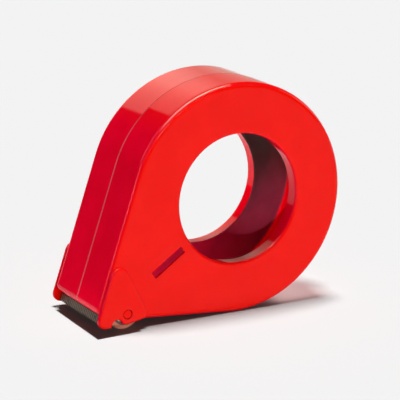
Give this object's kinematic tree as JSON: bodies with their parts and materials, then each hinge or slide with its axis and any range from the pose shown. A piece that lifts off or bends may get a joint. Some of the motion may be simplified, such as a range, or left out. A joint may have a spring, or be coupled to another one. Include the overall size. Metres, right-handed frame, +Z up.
{
  "type": "tape dispenser",
  "caption": "Closed hand-held packing tape dispenser: hinged teardrop case with a round hand hole, rubber roller, toothed blade and level window.",
  "frame": {"origin": "on the tape roll's axis, in the middle of the hand hole, half way across the width", "axes": "+X to the rear (the hinge), -X to the roller and blade, +Y to the right-hand side along the roll's axis, +Z up; the loop and the roller touch the floor at z = -0.064"},
  "size_m": [0.1555, 0.061, 0.128],
  "materials": {
    "enamel": "glossy red stoved enamel",
    "bare_steel": "zinc-plated steel",
    "spring_steel": "blued spring steel",
    "blade_steel": "ground steel, slightly oily",
    "roller_rubber": "tan pure-gum rubber, slightly translucent",
    "roller_core": "moulded core, matt",
    "bushing_nylon": "natural nylon"
  },
  "bodies": {
    "right_half": {"right_shell": "enamel", "right_cheek": "enamel", "roller_axle": "bare_steel", "axle_washers": "bare_steel", "axle_clips": "spring_steel", "cutter_blade": "blade_steel", "blade_holder": "bare_steel", "blade_rivets": "bare_steel", "flap_bracket": "bare_steel", "flap_rod": "bare_steel", "flap_spring": "spring_steel", "seam_strip": "bare_steel", "right_hinge_leaf": "enamel", "hinge_pin": "bare_steel", "right_hinge_rivets": "enamel"},
    "left_half": {"left_shell": "enamel", "left_cheek": "enamel", "snap_spring": "spring_steel", "left_hinge_leaf": "enamel", "left_hinge_rivets": "enamel"},
    "roller": {"roller_tyre": "roller_rubber", "roller_core": "roller_core", "left_bushing": "bushing_nylon", "right_bushing": "bushing_nylon"},
    "flap": {"tape_flap": "spring_steel"}
  },
  "joints": [
    {"name": "case_hinge", "type": "hinge", "parent": "right_half", "child": "left_half", "pos_m": [0.0669, 0, 0], "axis": [0, 0, 1], "range_deg": [0, 110]},
    {"name": "roller_spin", "type": "hinge", "parent": "right_half", "child": "roller", "pos_m": [-0.06901, 0, -0.0544], "axis": [0, 1, 0], "continuous": true},
    {"name": "flap_swing", "type": "hinge", "parent": "right_half", "child": "flap", "pos_m": [-0.07263, 0, -0.03338], "axis": [0, 1, 0], "range_deg": [0, 20], "stiffness_Nm_per_rad": 0.01, "springref_deg": -22.92}
  ]
}
